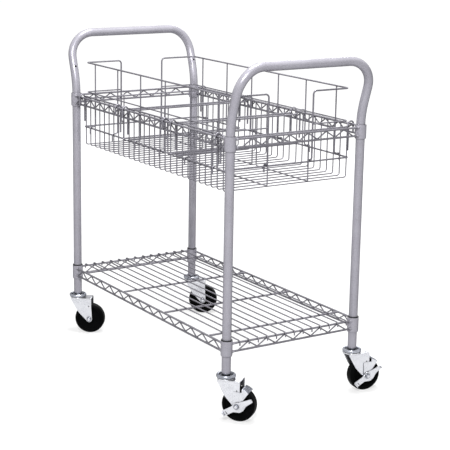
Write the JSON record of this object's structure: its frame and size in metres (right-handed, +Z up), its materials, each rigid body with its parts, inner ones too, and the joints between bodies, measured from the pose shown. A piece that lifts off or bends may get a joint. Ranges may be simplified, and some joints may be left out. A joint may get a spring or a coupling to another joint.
{
  "type": "mail cart",
  "caption": "Wire mail cart with push handles at both ends, hanging wire baskets, hook-on file rails, a wire lower shelf and swivel casters with side brakes.",
  "frame": {"origin": "middle of the footprint of the whole cart as it stands, on the floor", "axes": "+X towards the rear end, where the braked casters are; +Y to the right side; +Z up"},
  "size_m": [1.0232, 0.5514, 0.9776],
  "materials": {
    "silver_paint": "silver-grey metallic powder coat, satin",
    "bright_zinc": "bright zinc plate on pressed steel",
    "black_rubber": "black solid rubber, matt",
    "black_plastic": "black moulded plastic, matt"
  },
  "bodies": {
    "frame": {"basket_front": "silver_paint", "basket_middle": "silver_paint", "basket_rear": "silver_paint", "collar_lower_front_left": "silver_paint", "collar_lower_front_right": "silver_paint", "collar_lower_rear_left": "silver_paint", "collar_lower_rear_right": "silver_paint", "collar_upper_front_left": "silver_paint", "collar_upper_front_right": "silver_paint", "collar_upper_rear_left": "silver_paint", "collar_upper_rear_right": "silver_paint", "frame_lower_front": "silver_paint", "frame_lower_left": "silver_paint", "frame_lower_rear": "silver_paint", "frame_lower_right": "silver_paint", "frame_upper_front": "silver_paint", "frame_upper_left": "silver_paint", "frame_upper_rear": "silver_paint", "frame_upper_right": "silver_paint", "handle_front": "silver_paint", "handle_rear": "silver_paint", "lower_deck": "silver_paint", "post_front_left": "silver_paint", "post_front_right": "silver_paint", "post_rear_left": "silver_paint", "post_rear_right": "silver_paint", "sleeve_lower_front_left": "black_plastic", "sleeve_lower_front_right": "black_plastic", "sleeve_lower_rear_left": "black_plastic", "sleeve_lower_rear_right": "black_plastic", "sleeve_upper_front_left": "black_plastic", "sleeve_upper_front_right": "black_plastic", "sleeve_upper_rear_left": "black_plastic", "sleeve_upper_rear_right": "black_plastic", "stem_front_left": "bright_zinc", "stem_front_right": "bright_zinc", "stem_rear_left": "bright_zinc", "stem_rear_right": "bright_zinc"},
    "swivel_rear_left": {"fork_rear_left": "bright_zinc", "axle_rear_left": "bright_zinc"},
    "roller_rear_left": {"wheel_rear_left": "black_rubber"},
    "pedal_rear_left": {"brake_pedal_rear_left": "bright_zinc"},
    "arm_rear_left": {"brake_arm_rear_left": "bright_zinc"},
    "swivel_rear_right": {"fork_rear_right": "bright_zinc", "axle_rear_right": "bright_zinc"},
    "roller_rear_right": {"wheel_rear_right": "black_rubber"},
    "pedal_rear_right": {"brake_pedal_rear_right": "bright_zinc"},
    "arm_rear_right": {"brake_arm_rear_right": "bright_zinc"},
    "swivel_front_left": {"fork_front_left": "bright_zinc", "axle_front_left": "bright_zinc"},
    "roller_front_left": {"wheel_front_left": "black_rubber"},
    "swivel_front_right": {"fork_front_right": "bright_zinc", "axle_front_right": "bright_zinc"},
    "roller_front_right": {"wheel_front_right": "black_rubber"},
    "rail_left": {"file_rail_left": "silver_paint"},
    "rail_right": {"file_rail_right": "silver_paint"}
  },
  "joints": [
    {"name": "swivel_rear_left", "type": "hinge", "parent": "frame", "child": "swivel_rear_left", "pos_m": [0.42795, -0.24543, 0.121], "axis": [0, 0, 1], "continuous": true},
    {"name": "wheel_rear_left", "type": "hinge", "parent": "swivel_rear_left", "child": "roller_rear_left", "pos_m": [0.45947, -0.2208, 0.0476], "axis": [-0.6157, 0.788, 0], "continuous": true},
    {"name": "brake_pedal_rear_left", "type": "hinge", "parent": "swivel_rear_left", "child": "pedal_rear_left", "pos_m": [0.45947, -0.2208, 0.0476], "axis": [-0.6157, 0.788, 0], "range_deg": [0, 40]},
    {"name": "brake_arm_rear_left", "type": "slide", "parent": "swivel_rear_left", "child": "arm_rear_left", "axis": [-0.3577, -0.2795, -0.891], "range_m": [0, 0.0018]},
    {"name": "swivel_rear_right", "type": "hinge", "parent": "frame", "child": "swivel_rear_right", "pos_m": [0.42795, 0.18637, 0.121], "axis": [0, 0, 1], "continuous": true},
    {"name": "wheel_rear_right", "type": "hinge", "parent": "swivel_rear_right", "child": "roller_rear_right", "pos_m": [0.43421, 0.22588, 0.0476], "axis": [-0.9877, 0.1564, 0], "continuous": true},
    {"name": "brake_pedal_rear_right", "type": "hinge", "parent": "swivel_rear_right", "child": "pedal_rear_right", "pos_m": [0.43421, 0.22588, 0.0476], "axis": [-0.9877, 0.1564, 0], "range_deg": [0, 40]},
    {"name": "brake_arm_rear_right", "type": "slide", "parent": "swivel_rear_right", "child": "arm_rear_right", "axis": [-0.071, -0.4484, -0.891], "range_m": [0, 0.0018]},
    {"name": "swivel_front_left", "type": "hinge", "parent": "frame", "child": "swivel_front_left", "pos_m": [-0.46105, -0.24543, 0.121], "axis": [0, 0, 1], "continuous": true},
    {"name": "wheel_front_left", "type": "hinge", "parent": "swivel_front_left", "child": "roller_front_left", "pos_m": [-0.43642, -0.21391, 0.0476], "axis": [-0.788, 0.6157, 0], "continuous": true},
    {"name": "swivel_front_right", "type": "hinge", "parent": "frame", "child": "swivel_front_right", "pos_m": [-0.46105, 0.18637, 0.121], "axis": [0, 0, 1], "continuous": true},
    {"name": "wheel_front_right", "type": "hinge", "parent": "swivel_front_right", "child": "roller_front_right", "pos_m": [-0.43868, 0.21953, 0.0476], "axis": [-0.829, 0.5592, 0], "continuous": true},
    {"name": "file_rail_left", "type": "slide", "parent": "frame", "child": "rail_left", "axis": [0, 0, 1], "range_m": [0, 0.06]},
    {"name": "file_rail_right", "type": "slide", "parent": "frame", "child": "rail_right", "axis": [0, 0, 1], "range_m": [0, 0.06]}
  ],
  "couplings": [
    {"joint": "brake_arm_rear_left", "follows": "brake_pedal_rear_left", "m_per_rad": 0.00257},
    {"joint": "brake_arm_rear_right", "follows": "brake_pedal_rear_right", "m_per_rad": 0.00257}
  ]
}
